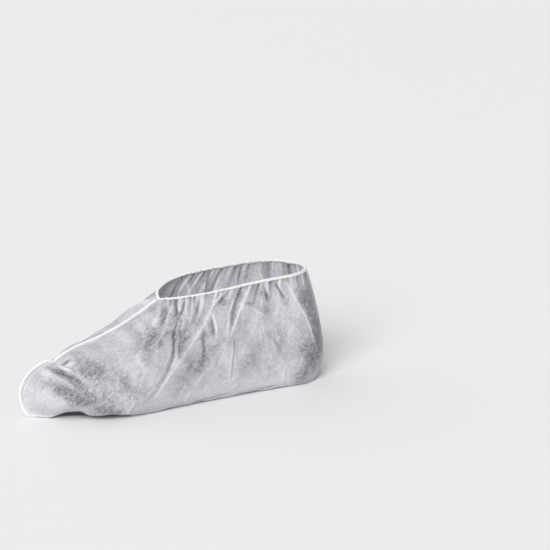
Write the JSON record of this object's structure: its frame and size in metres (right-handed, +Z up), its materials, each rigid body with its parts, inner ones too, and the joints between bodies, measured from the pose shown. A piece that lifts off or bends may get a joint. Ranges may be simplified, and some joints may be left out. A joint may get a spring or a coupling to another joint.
{
  "type": "disposable shoe cover",
  "caption": "Hollow nonwoven cover in the form of a shoe: one sheet folded under the sole, sewn into fins at toe and heel, with a gathered, elastic-bound ankle opening.",
  "frame": {"origin": "under the middle of its length, on the floor plane", "axes": "+Z up, -X toward the toe, -Y the side seen in the picture"},
  "size_m": [0.3422, 0.1158, 0.1202],
  "materials": {
    "nonwoven_sheet": "matte, mottled spunbond",
    "overlock_thread": "matte white thread",
    "elastic_binding": "matte white tape, gathered"
  },
  "bodies": {
    "root": {"cover_sheet": "nonwoven_sheet", "front_seam": "overlock_thread", "heel_seam": "overlock_thread", "ankle_binding": "elastic_binding"}
  },
  "joints": []
}
